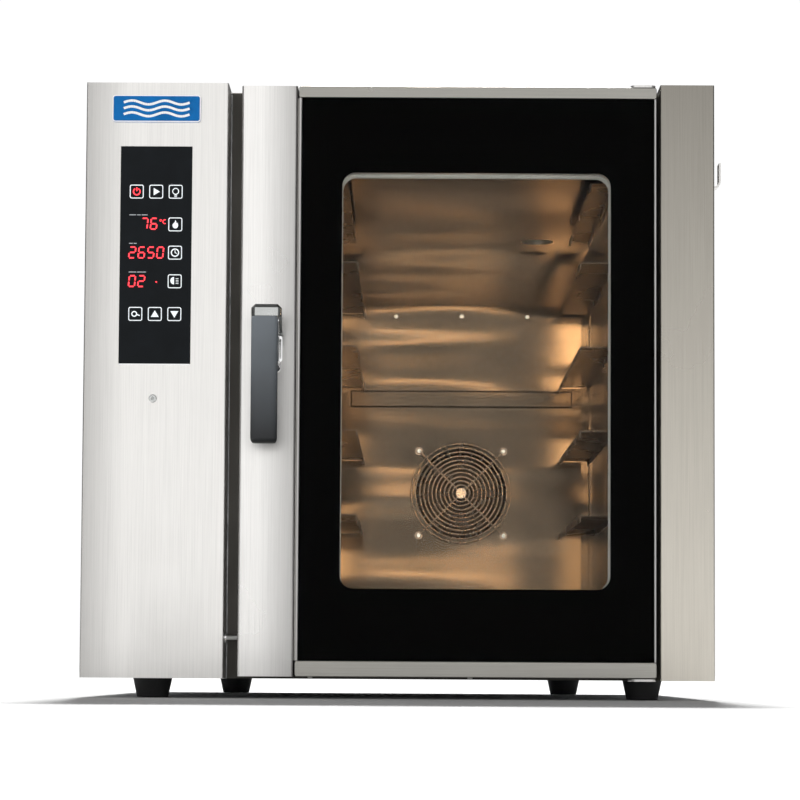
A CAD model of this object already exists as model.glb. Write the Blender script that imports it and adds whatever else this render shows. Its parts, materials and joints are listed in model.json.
import json
import math

import bmesh
import bpy
from mathutils import Euler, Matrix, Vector


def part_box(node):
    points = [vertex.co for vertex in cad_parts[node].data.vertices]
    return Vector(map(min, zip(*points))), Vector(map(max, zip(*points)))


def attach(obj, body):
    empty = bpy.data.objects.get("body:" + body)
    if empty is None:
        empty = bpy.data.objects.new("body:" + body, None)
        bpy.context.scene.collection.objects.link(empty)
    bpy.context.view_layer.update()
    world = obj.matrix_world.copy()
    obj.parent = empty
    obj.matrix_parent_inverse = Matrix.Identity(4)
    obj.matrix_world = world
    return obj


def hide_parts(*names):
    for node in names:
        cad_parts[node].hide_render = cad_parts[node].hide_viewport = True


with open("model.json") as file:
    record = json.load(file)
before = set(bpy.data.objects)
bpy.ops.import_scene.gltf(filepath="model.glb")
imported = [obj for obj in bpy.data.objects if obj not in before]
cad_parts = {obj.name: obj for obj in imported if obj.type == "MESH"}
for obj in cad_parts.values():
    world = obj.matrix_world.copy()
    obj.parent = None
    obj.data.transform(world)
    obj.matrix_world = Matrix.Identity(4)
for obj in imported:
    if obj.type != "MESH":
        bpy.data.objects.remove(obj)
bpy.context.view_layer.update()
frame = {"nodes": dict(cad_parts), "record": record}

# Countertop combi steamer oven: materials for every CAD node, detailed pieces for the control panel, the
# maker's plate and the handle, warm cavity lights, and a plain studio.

MM = 0.001


# ---- where things are -----------------------------------------------------------------------------------
def centre(node):
    lo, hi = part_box(node)
    return (lo + hi) / 2


CASE_LO = Vector((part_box("control_column_cover")[0].x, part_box("control_column_cover")[0].y, 0))
CASE_HI = Vector((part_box("hinge_column_cover")[1].x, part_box("back_panel")[1].y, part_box("top_panel")[1].z))
CAVITY_LO, CAVITY_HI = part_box("cavity_liner")
FAN = centre("fan_guard")
STILE_LO, STILE_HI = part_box("door_left_stile")
STILE_WIDTH = STILE_HI.x - STILE_LO.x
GRIP_LO, GRIP_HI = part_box("handle_grip")


# ---- node helpers ---------------------------------------------------------------------------------------
# Colour sockets of a Mix node, which share their names with its other kinds of sockets.
MIX_FIRST, MIX_SECOND, MIX_RESULT = 6, 7, 2


class Nodes:
    """One material's node tree, with short calls for the nodes that the materials share."""

    def __init__(self, name):
        self.material = bpy.data.materials.new(name)
        self.material.use_nodes = True
        self.tree = self.material.node_tree
        self.tree.nodes.clear()
        out = self.add("ShaderNodeOutputMaterial")
        self.shader = self.add("ShaderNodeBsdfPrincipled")
        self.join(self.shader, "BSDF", out, "Surface")
        self.place = self.add("ShaderNodeTexCoord")

    def add(self, kind, **values):
        node = self.tree.nodes.new(kind)
        for key, value in values.items():
            setattr(node, key, value)
        return node

    def join(self, a, output, b, socket):
        self.tree.links.new(a.outputs[output], b.inputs[socket])

    def set(self, **values):
        for key, value in values.items():
            self.shader.inputs[key.replace("_", " ")].default_value = value

    def noise(self, stretch, scale, detail=4.0, roughness=0.55):
        """Noise in the object's own space, stretched along its axes."""
        mapping = self.add("ShaderNodeMapping")
        mapping.inputs["Scale"].default_value = stretch
        self.join(self.place, "Object", mapping, "Vector")
        noise = self.add("ShaderNodeTexNoise")
        noise.inputs["Scale"].default_value = scale
        noise.inputs["Detail"].default_value = detail
        noise.inputs["Roughness"].default_value = roughness
        self.join(mapping, "Vector", noise, "Vector")
        return noise

    def ramp(self, source, stops, output="Fac"):
        """Colour ramp from (place, colour) stops."""
        ramp = self.add("ShaderNodeValToRGB")
        self.join(source, output, ramp, "Fac")
        elements = ramp.color_ramp.elements
        while len(elements) < len(stops):
            elements.new(0.5)
        for element, (spot, colour) in zip(elements, stops):
            element.position = spot
            element.color = (*colour, 1)
        return ramp

    def span(self, source, low, high, output="Fac", start=0.3, end=0.7):
        """Map Range from the noise's middle stretch to low..high."""
        node = self.add("ShaderNodeMapRange")
        node.inputs["From Min"].default_value = start
        node.inputs["From Max"].default_value = end
        node.inputs["To Min"].default_value = low
        node.inputs["To Max"].default_value = high
        self.join(source, output, node, "Value")
        return node

    def graded(self, source, output, grades):
        """Tones along the object's own axes, multiplied onto a colour; returns the node and its output."""
        for axis, start, end, first, last in grades:
            where = self.add("ShaderNodeSeparateXYZ")
            self.join(self.place, "Object", where, "Vector")
            grade = self.span(where, first, last, axis, start, end)
            tint = self.add("ShaderNodeCombineColor")
            for channel in ("Red", "Green", "Blue"):
                self.join(grade, "Result", tint, channel)
            source, output = self.multiply(source, output, tint, "Color"), MIX_RESULT
        return source, output

    def multiply(self, a, a_output, b, b_output):
        mix = self.add("ShaderNodeMix", data_type="RGBA", blend_type="MULTIPLY")
        mix.inputs["Factor"].default_value = 1.0
        self.join(a, a_output, mix, MIX_FIRST)
        self.join(b, b_output, mix, MIX_SECOND)
        return mix

    def bump(self, source, strength, distance, output="Fac", below=None):
        node = self.add("ShaderNodeBump")
        node.inputs["Strength"].default_value = strength
        node.inputs["Distance"].default_value = distance
        self.join(source, output, node, "Height")
        if below is not None:
            self.join(below, "Normal", node, "Normal")
        self.join(node, "Normal", self.shader, "Normal")
        return node


def shade(colour, factor):
    return tuple(min(1.0, c * factor) for c in colour)


# ---- materials ------------------------------------------------------------------------------------------
def brushed(name, colour, roughness, grain="z", contrast=0.10, smudge=0.05, wave=0.0, grades=()):
    """Brushed stainless: grain along one axis, faint smudges, optional low waves, and tones along the
    object's axes, each as (axis, start, end, share at the start, share at the end)."""
    n = Nodes(name)
    along, across = 2.5, 260.0
    stretch = [across, across, across]
    stretch["xyz".index(grain)] = along
    lines = n.noise(stretch, 3.0, 5.0, 0.7)
    patches = n.noise((1, 1, 1), 7.0, 3.0)
    dark, bright = shade(colour, 1 - contrast), shade(colour, 1 + contrast / 2)
    fine = n.ramp(lines, [(0.30, dark), (0.55, colour), (0.75, bright)])
    worn = n.ramp(patches, [(0.35, (1 - smudge,) * 3), (0.65, (1.0, 1.0, 1.0))])
    mixed = n.multiply(fine, "Color", worn, "Color")
    colour_node, colour_output = n.graded(mixed, MIX_RESULT, grades)
    n.join(colour_node, colour_output, n.shader, "Base Color")
    rough = n.span(patches, roughness * 0.85, roughness * 1.2)
    n.join(rough, "Result", n.shader, "Roughness")
    below = None
    if wave:
        rolls = n.noise((1.2, 1.2, 6.0), 1.6, 1.0)
        below = n.bump(rolls, strength=wave, distance=0.02)
    n.bump(lines, strength=0.10, distance=0.0004, below=below)
    n.set(Metallic=1.0, Anisotropic=0.45)
    return n.material


def polished(name, colour, roughness, mottle=0.06):
    """Chrome or zinc: smooth metal with a faint cloudiness."""
    n = Nodes(name)
    clouds = n.noise((1, 1, 1), 60.0, 3.0)
    tint = n.ramp(clouds, [(0.35, shade(colour, 1 - mottle)), (0.65, colour)])
    n.join(tint, "Color", n.shader, "Base Color")
    rough = n.span(clouds, roughness * 0.7, roughness * 1.5)
    n.join(rough, "Result", n.shader, "Roughness")
    n.bump(clouds, strength=0.04, distance=0.0003)
    n.set(Metallic=1.0)
    return n.material


def cast_plastic(name, colour, roughness, grain=900.0, depth=0.25, grades=()):
    """Moulded plastic, rubber or paint: fine pebble, faint colour drift, and tones as in brushed()."""
    n = Nodes(name)
    pebble = n.noise((1, 1, 1), grain, 2.0)
    drift = n.noise((1, 1, 1), 9.0, 3.0)
    tint = n.ramp(drift, [(0.30, shade(colour, 0.82)), (0.70, shade(colour, 1.12))])
    colour_node, colour_output = n.graded(tint, "Color", grades)
    n.join(colour_node, colour_output, n.shader, "Base Color")
    rough = n.span(drift, roughness * 0.9, min(1.0, roughness * 1.15))
    n.join(rough, "Result", n.shader, "Roughness")
    n.bump(pebble, strength=depth, distance=0.0002)
    return n.material


def clear_glass(name, colour, gloss):
    """Clear pane: full transmission and faint wipe marks in the polish."""
    n = Nodes(name)
    wipes = n.noise((0.6, 0.6, 2.2), 5.0, 3.0)
    haze = n.span(wipes, 0.0, 0.018)
    n.join(haze, "Result", n.shader, "Roughness")
    tint = n.ramp(wipes, [(0.3, shade(colour, 0.985)), (0.7, colour)])
    n.join(tint, "Color", n.shader, "Base Color")
    n.set(Transmission_Weight=1.0, IOR=1.10, Specular_IOR_Level=gloss)
    return n.material


def enamel(name, colour, roughness, gloss=0.5):
    """Glossy black enamel or glass print with slight orange peel."""
    n = Nodes(name)
    peel = n.noise((1, 1, 1), 40.0, 2.0)
    tint = n.ramp(peel, [(0.3, shade(colour, 0.85)), (0.7, shade(colour, 1.15))])
    n.join(tint, "Color", n.shader, "Base Color")
    rough = n.span(peel, roughness * 0.8, roughness * 1.3)
    n.join(rough, "Result", n.shader, "Roughness")
    n.bump(peel, strength=0.02, distance=0.0004)
    n.set(Specular_IOR_Level=gloss)
    return n.material


def glow(name, colour, strength, base=(0.2, 0.2, 0.2)):
    """Lit print or display segment with a slightly uneven brightness."""
    n = Nodes(name)
    uneven = n.noise((1, 1, 1), 300.0, 2.0)
    tint = n.ramp(uneven, [(0.3, shade(colour, 0.8)), (0.7, colour)])
    n.join(tint, "Color", n.shader, "Emission Color")
    body = n.ramp(uneven, [(0.3, shade(base, 0.9)), (0.7, base)])
    n.join(body, "Color", n.shader, "Base Color")
    n.set(Emission_Strength=strength, Roughness=0.4)
    return n.material


def fibre(name, colour):
    """Mineral wool: matted strands."""
    n = Nodes(name)
    strands = n.noise((1, 1, 3), 160.0, 6.0, 0.8)
    tint = n.ramp(strands, [(0.3, shade(colour, 0.6)), (0.7, shade(colour, 1.1))])
    n.join(tint, "Color", n.shader, "Base Color")
    n.bump(strands, strength=0.9, distance=0.002)
    n.set(Roughness=0.95)
    return n.material


def circuit(name, colour):
    """Solder mask with a faint pattern of tracks."""
    n = Nodes(name)
    tracks = n.noise((1, 1, 1), 120.0, 1.0)
    tint = n.ramp(tracks, [(0.46, colour), (0.50, shade(colour, 1.9)), (0.54, colour)])
    n.join(tint, "Color", n.shader, "Base Color")
    n.bump(tracks, strength=0.2, distance=0.0002)
    n.set(Roughness=0.35)
    return n.material


STEEL = (0.80, 0.785, 0.76)
COLUMN_SHADE = 55 * MM
MATERIALS = {
    "stainless": brushed("stainless", STEEL, 0.34, "z",
                         grades=(("Z", 0.0, CASE_HI.z, 0.91, 1.0),)),
    "stainless_column": brushed("stainless_column", STEEL, 0.34, "z",
                                grades=(("Z", 0.0, CASE_HI.z, 0.95, 1.06),
                                        ("X", CASE_LO.x, CASE_LO.x + COLUMN_SHADE, 0.62, 1.0))),
    "stainless_side": brushed("stainless_side", (0.74, 0.72, 0.69), 0.36, "y"),
    "stainless_hinge": brushed("stainless_hinge", (0.59, 0.555, 0.49), 0.30, "z",
                               grades=(("Z", 0.0, CASE_HI.z, 1.0, 0.50),)),
    "stainless_door": brushed("stainless_door", (0.92, 0.905, 0.88), 0.30, "z",
                              grades=(("Z", 0.0, CASE_HI.z, 0.80, 1.0),
                                      ("X", STILE_LO.x + 0.35 * STILE_WIDTH, STILE_HI.x, 1.0, 0.54))),
    "stainless_rail": brushed("stainless_rail", (0.37, 0.36, 0.33), 0.30, "x"),
    "stainless_dark": brushed("stainless_dark", (0.07, 0.066, 0.06), 0.42, "z"),
    "cavity_steel": brushed("cavity_steel", (0.142, 0.100, 0.068), 0.14, "x",
                            contrast=0.12, smudge=0.30, wave=0.55),
    "rack_steel": brushed("rack_steel", (0.15, 0.11, 0.08), 0.26, "y", contrast=0.12, smudge=0.20),
    "door_inner_steel": brushed("door_inner_steel", (0.50, 0.48, 0.45), 0.34, "z"),
    "galvanised": polished("galvanised", (0.55, 0.56, 0.57), 0.42, mottle=0.25),
    "zinc": polished("zinc", (0.70, 0.69, 0.66), 0.25),
    "chrome": polished("chrome", (0.86, 0.86, 0.86), 0.10),
    "lever_chrome": polished("lever_chrome", (0.52, 0.53, 0.52), 0.20),
    "guard_wire": polished("guard_wire", (0.36, 0.28, 0.22), 0.22),
    "cavity_fixing": polished("cavity_fixing", (0.07, 0.052, 0.04), 0.30),
    "copper": polished("copper", (0.72, 0.42, 0.28), 0.28, mottle=0.2),
    "heater_steel": polished("heater_steel", (0.20, 0.17, 0.15), 0.45, mottle=0.3),
    "motor_grey": cast_plastic("motor_grey", (0.11, 0.12, 0.13), 0.5, grain=400, depth=0.4),
    "lamp_metal": polished("lamp_metal", (0.72, 0.70, 0.66), 0.35),
    "lamp_glass": glow("lamp_glass", (1.0, 0.70, 0.38), 0.8, base=(0.9, 0.8, 0.6)),
    "door_glass": clear_glass("door_glass", (0.97, 0.98, 0.97), gloss=0.03),
    "panel_glass": enamel("panel_glass", (0.006, 0.008, 0.010), 0.10, gloss=0.10),
    "black_enamel": enamel("black_enamel", (0.0025, 0.003, 0.0035), 0.16, gloss=0.04),
    "badge_blue": enamel("badge_blue", (0.0, 0.15, 0.46), 0.30, gloss=0.15),
    "rubber_black": cast_plastic("rubber_black", (0.016, 0.016, 0.017), 0.7, grain=700, depth=0.5),
    "silicone_black": cast_plastic("silicone_black", (0.02, 0.02, 0.02), 0.55, grain=500, depth=0.2),
    "plastic_black": cast_plastic("plastic_black", (0.022, 0.022, 0.024), 0.5),
    "plastic_white": cast_plastic("plastic_white", (0.70, 0.70, 0.68), 0.45),
    "grip_plastic": cast_plastic("grip_plastic", (0.20, 0.225, 0.25), 0.55, grain=1200, depth=0.18,
                                 grades=(("Z", GRIP_LO.z, GRIP_HI.z, 0.03, 0.85),)),
    "circuit_green": circuit("circuit_green", (0.010, 0.075, 0.035)),
    "mineral_wool": fibre("mineral_wool", (0.55, 0.50, 0.34)),
    "print_white": glow("print_white", (0.80, 0.86, 0.90), 0.55, base=(0.75, 0.78, 0.80)),
    "display_red": glow("display_red", (1.0, 0.035, 0.05), 2.6, base=(0.4, 0.02, 0.03)),
    "print_dim": glow("print_dim", (0.55, 0.60, 0.64), 0.22, base=(0.45, 0.47, 0.50)),
}

# Nodes that look different from the material slot that the record gives them.
LOOKS = {
    "control_column_cover": "stainless_column",
    "left_side_panel": "stainless_side",
    "right_side_panel": "stainless_side",
    "top_panel": "stainless_side",
    "hinge_column_cover": "stainless_hinge",
    "door_top_rail": "stainless_rail",
    "door_bottom_rail": "stainless_rail",
    "fan_guard": "guard_wire",
    "rack_studs": "guard_wire",
    "fan_wheel": "cavity_fixing",
    "handle_lever": "lever_chrome",
    "probe_socket": "lever_chrome",
}


def dress(obj, look):
    obj.data.materials.clear()
    obj.data.materials.append(MATERIALS[look])


def dress_frame():
    slots = {part["node"]: part["material_slot"] for part in frame["record"]["subparts"]}
    for node, obj in frame["nodes"].items():
        dress(obj, LOOKS.get(node, slots[node]))


# ---- piece helpers --------------------------------------------------------------------------------------
def piece(name, mesh, look, body, smooth=False):
    """New object from a bmesh, with a material, that rides on a body."""
    data = bpy.data.meshes.new(name)
    bmesh.ops.recalc_face_normals(mesh, faces=mesh.faces)
    mesh.to_mesh(data)
    mesh.free()
    obj = bpy.data.objects.new(name, data)
    bpy.context.collection.objects.link(obj)
    obj.data.materials.append(MATERIALS[look])
    if smooth:
        obj.data.shade_smooth()
    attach(obj, body)
    return obj


def slab(mesh, outline, y_front, y_back):
    """Closed flat plate from a list of (x, z) points, facing -Y."""
    front = [mesh.verts.new((x, y_front, z)) for x, z in outline]
    back = [mesh.verts.new((x, y_back, z)) for x, z in outline]
    mesh.faces.new(front)
    mesh.faces.new(list(reversed(back)))
    for i in range(len(outline)):
        j = (i + 1) % len(outline)
        mesh.faces.new((front[i], back[i], back[j], front[j]))


def ring_slab(mesh, outer, inner, y_front, y_back):
    """Closed flat ring between two outlines with the same number of points."""
    loops = [[mesh.verts.new((x, y, z)) for x, z in line]
             for line in (outer, inner) for y in (y_front, y_back)]
    outer_front, outer_back, inner_front, inner_back = loops
    for i in range(len(outer)):
        j = (i + 1) % len(outer)
        mesh.faces.new((outer_front[i], outer_front[j], inner_front[j], inner_front[i]))
        mesh.faces.new((outer_back[i], inner_back[i], inner_back[j], outer_back[j]))
        mesh.faces.new((outer_front[i], outer_back[i], outer_back[j], outer_front[j]))
        mesh.faces.new((inner_front[i], inner_front[j], inner_back[j], inner_back[i]))


def rounded(cx, cz, w, h, r, steps=5):
    """Rounded rectangle as (x, z) points."""
    points = []
    for qx, qz, start in ((1, 1, 0), (-1, 1, 90), (-1, -1, 180), (1, -1, 270)):
        for i in range(steps + 1):
            a = math.radians(start + 90 * i / steps)
            points.append((cx + qx * (w / 2 - r) + r * math.cos(a),
                           cz + qz * (h / 2 - r) + r * math.sin(a)))
    return points


def disc(cx, cz, r, start=0.0, end=360.0, steps=24):
    """Round outline, or a pie slice when it isn't a whole turn."""
    whole = end - start >= 360
    count = steps if whole else steps + 1
    points = []
    for i in range(count):
        a = math.radians(start + (end - start) * i / steps)
        points.append((cx + r * math.cos(a), cz + r * math.sin(a)))
    return points if whole else [(cx, cz)] + points


def arc_band(mesh, cx, cz, r, width, start, end, y_front, y_back, steps=20):
    """Bent strip along an arc."""
    inside, outside = r - width / 2, r + width / 2
    for i in range(steps):
        corners = []
        for k, radius in ((i, outside), (i + 1, outside), (i + 1, inside), (i, inside)):
            a = math.radians(start + (end - start) * k / steps)
            corners.append((cx + radius * math.cos(a), cz + radius * math.sin(a)))
        slab(mesh, corners, y_front, y_back)


def bar(mesh, a, b, width, y_front, y_back):
    """Straight strip between two (x, z) points."""
    ax, az = a
    bx, bz = b
    length = math.hypot(bx - ax, bz - az)
    ox, oz = -(bz - az) / length * width / 2, (bx - ax) / length * width / 2
    corners = [(ax + ox, az + oz), (bx + ox, bz + oz), (bx - ox, bz - oz), (ax - ox, az - oz)]
    slab(mesh, corners, y_front, y_back)


# ---- control panel --------------------------------------------------------------------------------------
PANEL_LO, PANEL_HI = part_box("control_glass")
PANEL_MID = (PANEL_LO + PANEL_HI) / 2
PRINT_FRONT = PANEL_LO.y - 0.25 * MM
PRINT_BACK = PANEL_LO.y + 0.05 * MM
KEY_SIZE = 18.6 * MM
KEY_INSIDE = KEY_SIZE - 2.4 * MM
KEY_COLUMNS = [PANEL_MID.x + dx * MM for dx in (-26, 0, 26)]
KEY_ROWS = [PANEL_MID.z + dz * MM for dz in (85, 41, 3, -35.5, -79.5)]
POWER, START, LAMP = [(x, KEY_ROWS[0]) for x in KEY_COLUMNS]
HEAT, TIMER, STEAM = [(KEY_COLUMNS[2], z) for z in KEY_ROWS[1:4]]
PROBE, UP, DOWN = [(x, KEY_ROWS[4]) for x in KEY_COLUMNS]
READOUT_LEFT = PANEL_MID.x - 35 * MM
READOUT_RIGHT = PANEL_MID.x + 12.5 * MM
DIGIT_PITCH = 12.4 * MM
DIGIT_WIDTH = 8.0 * MM
DIGIT_HEIGHT = 14.4 * MM
DIGIT_SLANT = 0.10
SEGMENT_WIDTH = 1.7 * MM
SEGMENT_GAP = 0.9 * MM
SEGMENTS = {"0": "abcdef", "2": "abged", "5": "afgcd", "6": "afgedc", "7": "abc"}


def beside(spot, dx, dz):
    """Point beside a spot of the panel, with dx and dz in millimetres."""
    return spot[0] + dx * MM, spot[1] + dz * MM


def ink(mesh, outline):
    """Filled print on the touch glass."""
    slab(mesh, outline, PRINT_FRONT, PRINT_BACK)


def stroke(mesh, a, b, width):
    """Straight printed line, with its width in millimetres."""
    bar(mesh, a, b, width * MM, PRINT_FRONT, PRINT_BACK)


def curve(mesh, spot, radius, width, start=0, end=360, steps=20):
    """Printed arc, with its radius and width in millimetres."""
    arc_band(mesh, *spot, radius * MM, width * MM, start, end, PRINT_FRONT, PRINT_BACK, steps)


def flame(spot):
    """Outline of a plain flame."""
    shape = [(0, 6), (1.6, 3.2), (1.2, 1.4), (2.8, 2.4), (4.0, -1.0), (3.2, -3.8), (1.2, -5.4),
             (-1.2, -5.4), (-3.2, -3.8), (-4.0, -1.0), (-2.6, 1.4), (-0.8, 3.0)]
    return [beside(spot, dx, dz) for dx, dz in shape]


def key_outlines():
    rings = bmesh.new()
    for x, z in (POWER, START, LAMP, HEAT, TIMER, STEAM, PROBE, UP, DOWN):
        outside = rounded(x, z, KEY_SIZE, KEY_SIZE, 2.6 * MM)
        inside = rounded(x, z, KEY_INSIDE, KEY_INSIDE, 1.6 * MM)
        ring_slab(rings, outside, inside, PRINT_FRONT, PRINT_BACK)
    piece("key_outlines", rings, "print_white", "cabinet")


def power_symbol():
    power = bmesh.new()
    curve(power, POWER, 4.4, 1.5, 120, 420)
    stroke(power, beside(POWER, 0, 0.6), beside(POWER, 0, 5.6), 1.4)
    piece("power_symbol", power, "display_red", "cabinet")


def key_symbols():
    """White symbols of the other eight keys, in the keys' order."""
    marks = bmesh.new()
    ink(marks, [beside(START, -3.4, 5), beside(START, 5, 0), beside(START, -3.4, -5)])
    curve(marks, beside(LAMP, 0, 0.6), 4.0, 1.2)
    for i in range(3):
        down = -(4.6 + 1.1 * i)
        stroke(marks, beside(LAMP, -1.8, down), beside(LAMP, 1.8, down), 0.6)
    ink(marks, flame(HEAT))
    curve(marks, TIMER, 4.9, 1.6)
    stroke(marks, TIMER, beside(TIMER, 0, 3.4), 1.0)
    stroke(marks, TIMER, beside(TIMER, 2.6, -1.2), 1.0)
    ink(marks, disc(*beside(STEAM, -0.8, 0.8), 5.0 * MM, 90, 270))
    for i in range(4):
        up = 3.6 - 2.2 * i
        stroke(marks, beside(STEAM, 1.4, up), beside(STEAM, 5, up), 0.8)
    curve(marks, beside(PROBE, -1.4, 0), 3.2, 1.6)
    stroke(marks, beside(PROBE, 1.6, -0.8), beside(PROBE, 6, -2.2), 1.6)
    for key, way in ((UP, 1), (DOWN, -1)):
        ink(marks, [beside(key, -5.4, -4 * way), beside(key, 5.4, -4 * way), beside(key, 0, 5 * way)])
    piece("key_symbols", marks, "print_white", "cabinet")


def seven_segments(mesh, figure, x, z):
    """One slanted seven-segment figure; x is its left side and z its middle."""
    w, h = DIGIT_WIDTH, DIGIT_HEIGHT
    ends = {"a": ((0, h / 2), (w, h / 2)), "g": ((0, 0), (w, 0)), "d": ((0, -h / 2), (w, -h / 2)),
            "f": ((0, h / 2), (0, 0)), "b": ((w, h / 2), (w, 0)),
            "e": ((0, 0), (0, -h / 2)), "c": ((w, 0), (w, -h / 2))}

    def lean(px, pz):
        return x + px + DIGIT_SLANT * pz, z + pz

    for key in SEGMENTS[figure]:
        (ax, az), (bx, bz) = ends[key]
        length = math.hypot(bx - ax, bz - az)
        ux, uz = (bx - ax) / length, (bz - az) / length
        a = lean(ax + ux * SEGMENT_GAP, az + uz * SEGMENT_GAP)
        b = lean(bx - ux * SEGMENT_GAP, bz - uz * SEGMENT_GAP)
        bar(mesh, a, b, SEGMENT_WIDTH, PRINT_FRONT, PRINT_BACK)


def display_digits():
    """Temperature with its degree sign and unit, time, steam level and a lit dot."""
    digits = bmesh.new()
    readouts = (("76", READOUT_RIGHT - 2.55 * DIGIT_PITCH, KEY_ROWS[1] + 0.8 * MM),
                ("2650", READOUT_LEFT, KEY_ROWS[2]), ("02", READOUT_LEFT, KEY_ROWS[3]))
    for figures, x, z in readouts:
        for i, figure in enumerate(figures):
            seven_segments(digits, figure, x + i * DIGIT_PITCH, z)
    unit = beside((READOUT_RIGHT, KEY_ROWS[1]), -1.5, 5.4)
    curve(digits, beside(unit, -4.6, 0), 1.2, 0.7, steps=10)
    curve(digits, beside(unit, 1.0, -1.8), 2.6, 1.1, 60, 300, steps=14)
    ink(digits, disc(*beside((PANEL_MID.x, KEY_ROWS[3]), 1.5, -1), 1.0 * MM))
    piece("display_digits", digits, "display_red", "cabinet")


def readout_dashes():
    """Dashes above each readout; lengths in millimetres."""
    dashes = bmesh.new()
    gap = 1.2
    for row, up, lengths in ((1, 12.6, (9, 5, 8)), (2, 12.2, (5, 4)), (3, 12.2, (10, 12))):
        start = beside((READOUT_LEFT, KEY_ROWS[row]), -0.5, up)
        for length in lengths:
            stroke(dashes, start, beside(start, length, 0), 1.0)
            start = beside(start, length + gap, 0)
    piece("readout_dashes", dashes, "print_dim", "cabinet")


def panel_lower_strip():
    """Bright strip under the touch glass."""
    lip = bmesh.new()
    outline = rounded(PANEL_MID.x, PANEL_LO.z - 0.9 * MM, PANEL_HI.x - PANEL_LO.x, 1.6 * MM, 0.5 * MM)
    slab(lip, outline, PANEL_LO.y - 0.1 * MM, CASE_LO.y + 0.2 * MM)
    piece("panel_lower_strip", lip, "chrome", "cabinet")


# ---- maker's plate --------------------------------------------------------------------------------------
def badge():
    """Raised silver rim and a generic mark of three steam waves on the blue plate."""
    lo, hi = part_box("badge_plate")
    mid = (lo + hi) / 2
    width, height = hi.x - lo.x, hi.z - lo.z
    front, back = lo.y - 0.6 * MM, lo.y + 0.1 * MM
    outside = rounded(mid.x, mid.z, width, height, 4 * MM)
    inside = rounded(mid.x, mid.z, width - 2.4 * MM, height - 2.4 * MM, 3 * MM)
    rim = bmesh.new()
    ring_slab(rim, outside, inside, front, back)
    piece("badge_rim", rim, "chrome", "cabinet")

    waves = bmesh.new()
    steps = 28
    length = width - 30 * MM
    swing = 2.6 * MM
    for row in (-8, 0, 8):
        points = [(mid.x - length / 2 + length * k / steps,
                   mid.z + row * MM + swing * math.sin(2 * math.tau * k / steps)) for k in range(steps + 1)]
        for a, b in zip(points, points[1:]):
            bar(waves, a, b, 3.2 * MM, front, back)
    piece("badge_waves", waves, "chrome", "cabinet")


# ---- handle ---------------------------------------------------------------------------------------------
GRIP_SIDES = 32
GRIP_LEVELS = 48
GRIP_TOE = 7 * MM
SQUARENESS = 0.55


def squared(value):
    """Cosine or sine pushed outwards, so that a circle becomes a rounded square."""
    return math.copysign(abs(value) ** SQUARENESS, value)


def grip_ring(z):
    """Cross-section of the grip at a height: full in the middle, a little narrower at the toe, crowned."""
    mid_x, half = (GRIP_LO.x + GRIP_HI.x) / 2, (GRIP_HI.x - GRIP_LO.x) / 2
    depth = GRIP_HI.y - GRIP_LO.y
    rise = (z - GRIP_LO.z) / (GRIP_HI.z - GRIP_LO.z)
    toe = min(1.0, (z - GRIP_LO.z) / GRIP_TOE)
    fullness = math.sqrt(max(0.0, 1 - (1 - toe) ** 2))
    width = half * (0.78 + 0.22 * fullness)
    crown = depth * (0.93 + 0.07 * math.sin(math.pi * rise)) * (0.55 + 0.45 * fullness)
    points = []
    for i in range(GRIP_SIDES):
        a = math.tau * i / GRIP_SIDES
        points.append((mid_x + width * squared(math.cos(a)),
                       GRIP_HI.y - crown / 2 + crown / 2 * squared(math.sin(a)), z))
    return points


def grip_body():
    """Sculpted grip in place of the plain one, with rings closer together near its ends."""
    mesh = bmesh.new()
    rings = []
    for k in range(GRIP_LEVELS + 1):
        share = 0.5 - 0.5 * math.cos(math.pi * k / GRIP_LEVELS)
        points = grip_ring(GRIP_LO.z + share * (GRIP_HI.z - GRIP_LO.z))
        rings.append([mesh.verts.new(point) for point in points])
    for low, high in zip(rings, rings[1:]):
        for i in range(GRIP_SIDES):
            j = (i + 1) % GRIP_SIDES
            mesh.faces.new((low[i], low[j], high[j], high[i]))
    mesh.faces.new(list(reversed(rings[0])))
    mesh.faces.new(rings[-1])
    grip = piece("grip_body", mesh, "grip_plastic", "handle", smooth=True)
    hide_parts("handle_grip")


def lever_oval_eye():
    """Oval eye on the lever, beside the grip."""
    x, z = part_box("handle_lever")[1].x - 2.6 * MM, GRIP_HI.z - 40 * MM
    outside = rounded(x, z, 5.2 * MM, 34 * MM, 2.5 * MM)
    inside = rounded(x, z, 2.6 * MM, 26 * MM, 1.2 * MM)
    eye = bmesh.new()
    ring_slab(eye, outside, inside, GRIP_HI.y + 8 * MM, GRIP_HI.y + 11 * MM)
    piece("lever_oval_eye", eye, "chrome", "handle")


# ---- studio ---------------------------------------------------------------------------------------------
WHITE = (1.0, 1.0, 1.0)
WARM = (1.0, 0.72, 0.42)
LAMP_SIZE = (50 * MM, 90 * MM)
STREAK_SIZE = (240 * MM, 5 * MM)
WORLD_SEEN = 1.02
WORLD_AS_LIGHT = 0.12
FLOOR_HALF = 14.0
FLOOR_DROP = 0.4 * MM


def backdrop():
    """White world for the camera that is much dimmer as a light."""
    world = bpy.data.worlds.new("studio")
    bpy.context.scene.world = world
    world.use_nodes = True
    tree = world.node_tree
    background = tree.nodes["Background"]
    background.inputs["Color"].default_value = (*WHITE, 1)
    seen = tree.nodes.new("ShaderNodeLightPath")
    strength = tree.nodes.new("ShaderNodeMapRange")
    strength.inputs["To Min"].default_value = WORLD_AS_LIGHT
    strength.inputs["To Max"].default_value = WORLD_SEEN
    tree.links.new(seen.outputs["Is Camera Ray"], strength.inputs["Value"])
    tree.links.new(strength.outputs["Result"], background.inputs["Strength"])


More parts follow.
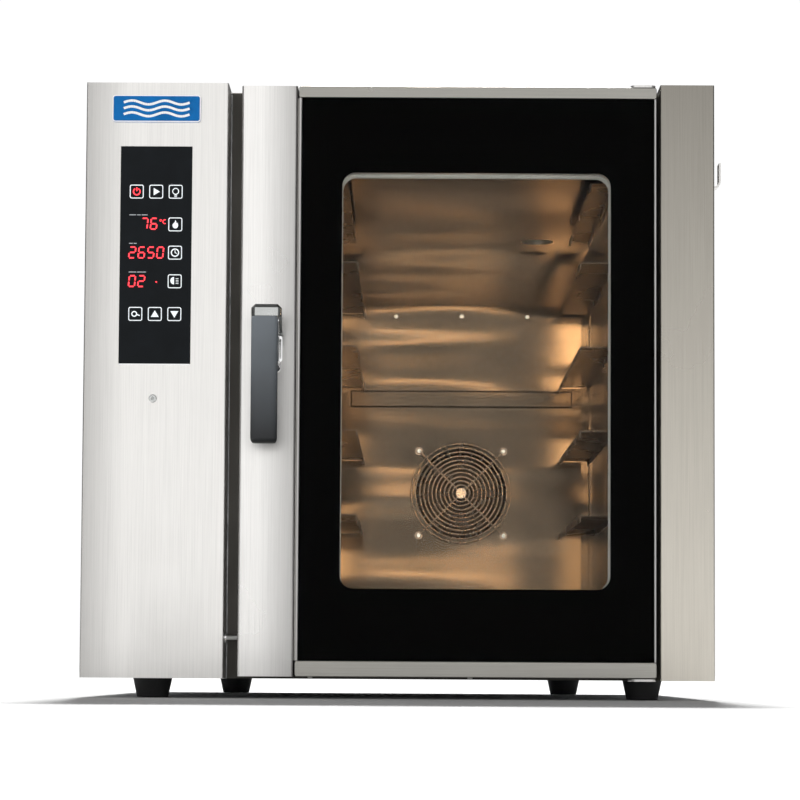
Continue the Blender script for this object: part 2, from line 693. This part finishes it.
def floor():
    mesh = bmesh.new()
    signs = ((-1, -1), (1, -1), (1, 1), (-1, 1))
    mesh.faces.new([mesh.verts.new((x * FLOOR_HALF, y * FLOOR_HALF, 0)) for x, y in signs])
    data = bpy.data.meshes.new("floor")
    mesh.to_mesh(data)
    mesh.free()
    ground = bpy.data.objects.new("floor", data)
    ground.location.z = -FLOOR_DROP
    bpy.context.collection.objects.link(ground)
    n = Nodes("floor_paper")
    mottle = n.noise((1, 1, 1), 3.0, 3.0)
    tint = n.ramp(mottle, [(0.3, (0.985, 0.985, 0.985)), (0.7, (1.0, 1.0, 1.0))])
    n.join(tint, "Color", n.shader, "Base Color")
    n.set(Roughness=0.9, Specular_IOR_Level=0.2)
    data.materials.append(n.material)


def aimed(name, data, direction, place=(0, 0, 0)):
    """Object for a light, facing along a direction."""
    obj = bpy.data.objects.new(name, data)
    obj.location = place
    obj.rotation_euler = Vector(direction).to_track_quat("-Z", "Y").to_euler()
    bpy.context.collection.objects.link(obj)


def area(name, place, target, power, size, colour=WHITE):
    """Rectangular light that faces a target; size is its width and height."""
    light = bpy.data.lights.new(name, "AREA")
    light.energy = power
    light.color = colour
    light.shape = "RECTANGLE"
    light.size, light.size_y = size
    aimed(name, light, Vector(target) - Vector(place), place)


def studio_lights():
    """Large soft front, a smaller key from the left, and a sun from behind for the floor and its shadow."""
    middle = (CASE_LO + CASE_HI) / 2
    area("front", (0.0, -6.4, 1.0), middle, power=115, size=(8.0, 4.6))
    area("key", (-2.4, -3.2, 2.6), middle, power=16, size=(1.8, 1.8))
    sun = bpy.data.lights.new("back_top", "SUN")
    sun.energy = 4.6
    sun.angle = math.radians(9)
    aimed("back_top", sun, direction=(0.0, -0.62, -0.79))


def cavity_lights():
    """Warm lights just inside the door: lamps on both walls, and thin strips that streak the back."""
    front = CAVITY_LO.y + 50 * MM
    back = CAVITY_HI.y - 200 * MM
    right, left = CAVITY_HI.x - 12 * MM, CAVITY_LO.x + 12 * MM
    strip_x = FAN.x - 30 * MM

    def level(share):
        return CAVITY_LO.z + share * (CAVITY_HI.z - CAVITY_LO.z)

    for i, (share, power) in enumerate(((0.22, 0.08), (0.52, 0.20), (0.82, 0.34))):
        z = level(share)
        area(f"lamp_right_{i}", (right, front, z), (CAVITY_LO.x, back, z), power, LAMP_SIZE, WARM)
        area(f"lamp_left_{i}", (left, front, z), (CAVITY_HI.x, back, z), 0.14, LAMP_SIZE, WARM)
    for i, share in enumerate((0.18, 0.43, 0.72, 0.93)):
        z = level(share)
        area(f"streak_{i}", (strip_x, front, z), (strip_x, CAVITY_HI.y, z), 0.12, STREAK_SIZE, WARM)


# ---- camera ---------------------------------------------------------------------------------------------
CAMERA_DISTANCE = 3.441
CAMERA_SIDE = 19.2 * MM
CAMERA_HEIGHT = 40 * MM
CAMERA_UP, CAMERA_TURN, CAMERA_ROLL = 3.453, 0.274, 0.342


def camera():
    """Low camera in front of the oven; its three angles are in degrees."""
    data = bpy.data.cameras.new("camera")
    data.sensor_width = 36.0
    data.lens = 117.0
    data.shift_y = 0.14
    obj = bpy.data.objects.new("camera", data)
    middle = (CASE_LO.x + CASE_HI.x) / 2
    obj.location = (middle + CAMERA_SIDE, CASE_LO.y - CAMERA_DISTANCE, CAMERA_HEIGHT)
    towards = Euler((math.radians(90 + CAMERA_UP), 0, math.radians(CAMERA_TURN))).to_matrix()
    roll = Euler((0, 0, math.radians(CAMERA_ROLL))).to_matrix()
    obj.rotation_euler = (towards @ roll).to_euler()
    bpy.context.collection.objects.link(obj)
    bpy.context.scene.camera = obj


# ---- build ----------------------------------------------------------------------------------------------
dress_frame()
key_outlines()
power_symbol()
key_symbols()
display_digits()
readout_dashes()
panel_lower_strip()
badge()
grip_body()
lever_oval_eye()
backdrop()
floor()
studio_lights()
cavity_lights()
camera()
bpy.context.scene.view_settings.view_transform = "Standard"
